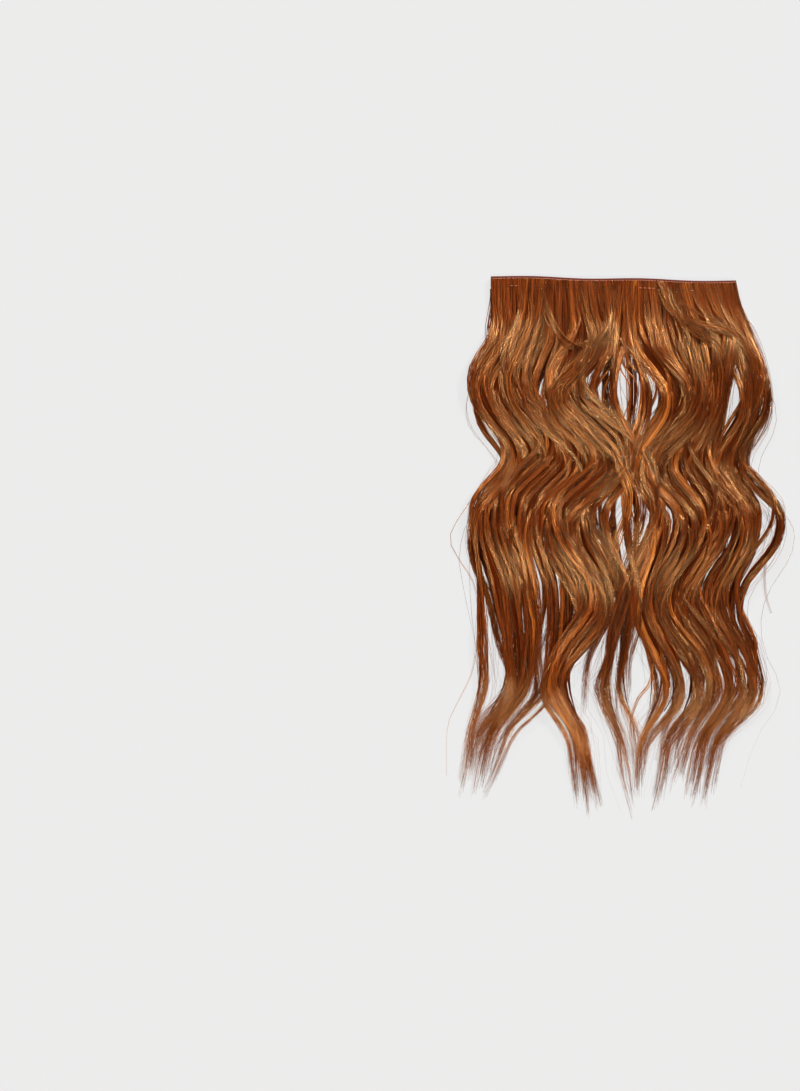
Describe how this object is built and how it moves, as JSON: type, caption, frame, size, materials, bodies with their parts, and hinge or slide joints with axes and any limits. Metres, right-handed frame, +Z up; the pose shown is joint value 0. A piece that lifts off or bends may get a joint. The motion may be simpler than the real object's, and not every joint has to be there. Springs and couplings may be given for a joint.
{
  "type": "clip in hair extension",
  "caption": "Waved clip-in hair extension lying flat: long copper-brown locks sewn to a slim band, with comb clips underneath.",
  "frame": {"origin": "middle of the footprint, on the surface that the piece lies on", "axes": "+X along the band to the right, +Y from the tips of the hair to the band, +Z up, away from the clips"},
  "size_m": [0.2148, 0.3674, 0.0116],
  "materials": {
    "hair": "glossy waved fibre, reddish brown with copper and honey strands",
    "band": "matt woven tape, dark brown",
    "seam": "matt sewing thread and rolled seam, brown",
    "clip": "satin dark brown lacquer on spring steel"
  },
  "bodies": {
    "root": {"weft_band": "band", "top_seam": "seam", "hair_over": "hair", "hair_under": "hair", "clip_left": "clip", "clip_middle": "clip", "clip_right": "clip"}
  },
  "joints": []
}
